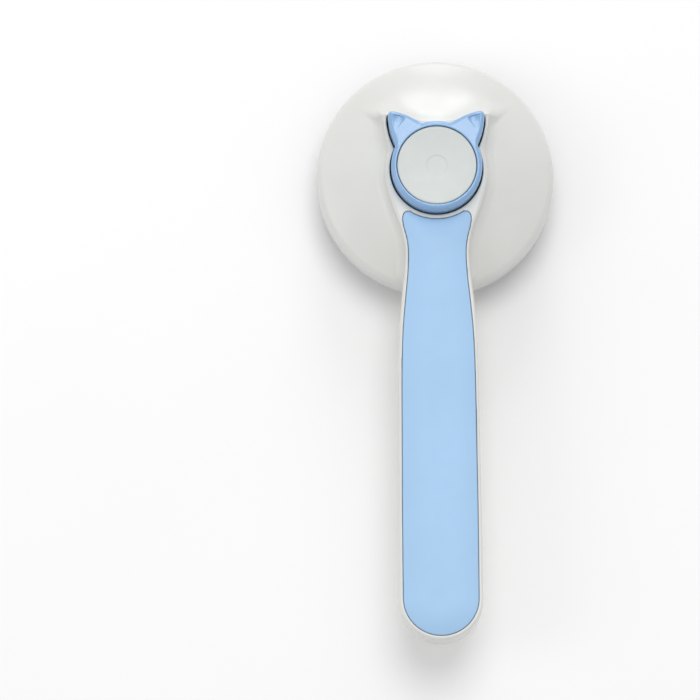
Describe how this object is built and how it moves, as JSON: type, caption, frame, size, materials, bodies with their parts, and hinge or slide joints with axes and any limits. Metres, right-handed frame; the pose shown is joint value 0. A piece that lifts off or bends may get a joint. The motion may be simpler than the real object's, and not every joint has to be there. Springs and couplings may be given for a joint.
{
  "type": "self-cleaning slicker brush",
  "caption": "Round slicker brush with bent steel pins, a long handle with a soft grip and a cat-ear push button that slides the slotted face plate out to strip the hair off.",
  "frame": {"origin": "under the middle of the brush's box, level with the pin tips", "axes": "+X across the brush, +Y from the handle towards the head, +Z from the pins towards the button"},
  "size_m": [0.085, 0.214, 0.039],
  "materials": {
    "white_shell": "satin moulded ABS",
    "blue_grip": "soft-touch moulded",
    "blue_button": "satin moulded ABS",
    "white_disc": "satin moulded ABS",
    "plate_plastic": "satin moulded ABS",
    "inner_plastic": "fine matt",
    "pin_steel": "drawn wire, polished tips",
    "screw_steel": "zinc plated",
    "spring_steel": "drawn wire"
  },
  "bodies": {
    "handle": {"back_shell": "white_shell", "handle_underside": "white_shell", "grip_inlay": "blue_grip", "handle_screws": "screw_steel", "pin_carrier": "inner_plastic", "pin_backing_plate": "inner_plastic", "carrier_screws": "screw_steel", "return_spring": "spring_steel", "pin_row_01": "pin_steel", "pin_row_02": "pin_steel", "pin_row_03": "pin_steel", "pin_row_04": "pin_steel", "pin_row_05": "pin_steel", "pin_row_06": "pin_steel", "pin_row_07": "pin_steel", "pin_row_08": "pin_steel", "pin_row_09": "pin_steel", "pin_row_10": "pin_steel", "pin_row_11": "pin_steel", "pin_row_12": "pin_steel", "pin_row_13": "pin_steel", "pin_row_14": "pin_steel", "pin_row_15": "pin_steel", "pin_row_16": "pin_steel"},
    "button": {"button_cap": "blue_button", "thumb_disc": "white_disc", "cap_screws": "screw_steel", "face_plate": "plate_plastic"}
  },
  "joints": [
    {"name": "button_press", "type": "slide", "parent": "handle", "child": "button", "axis": [0, 0, -1], "range_m": [0, 0.008], "stiffness_N_per_m": 400, "springref_m": -0.004, "deforming": ["return_spring"]}
  ]
}
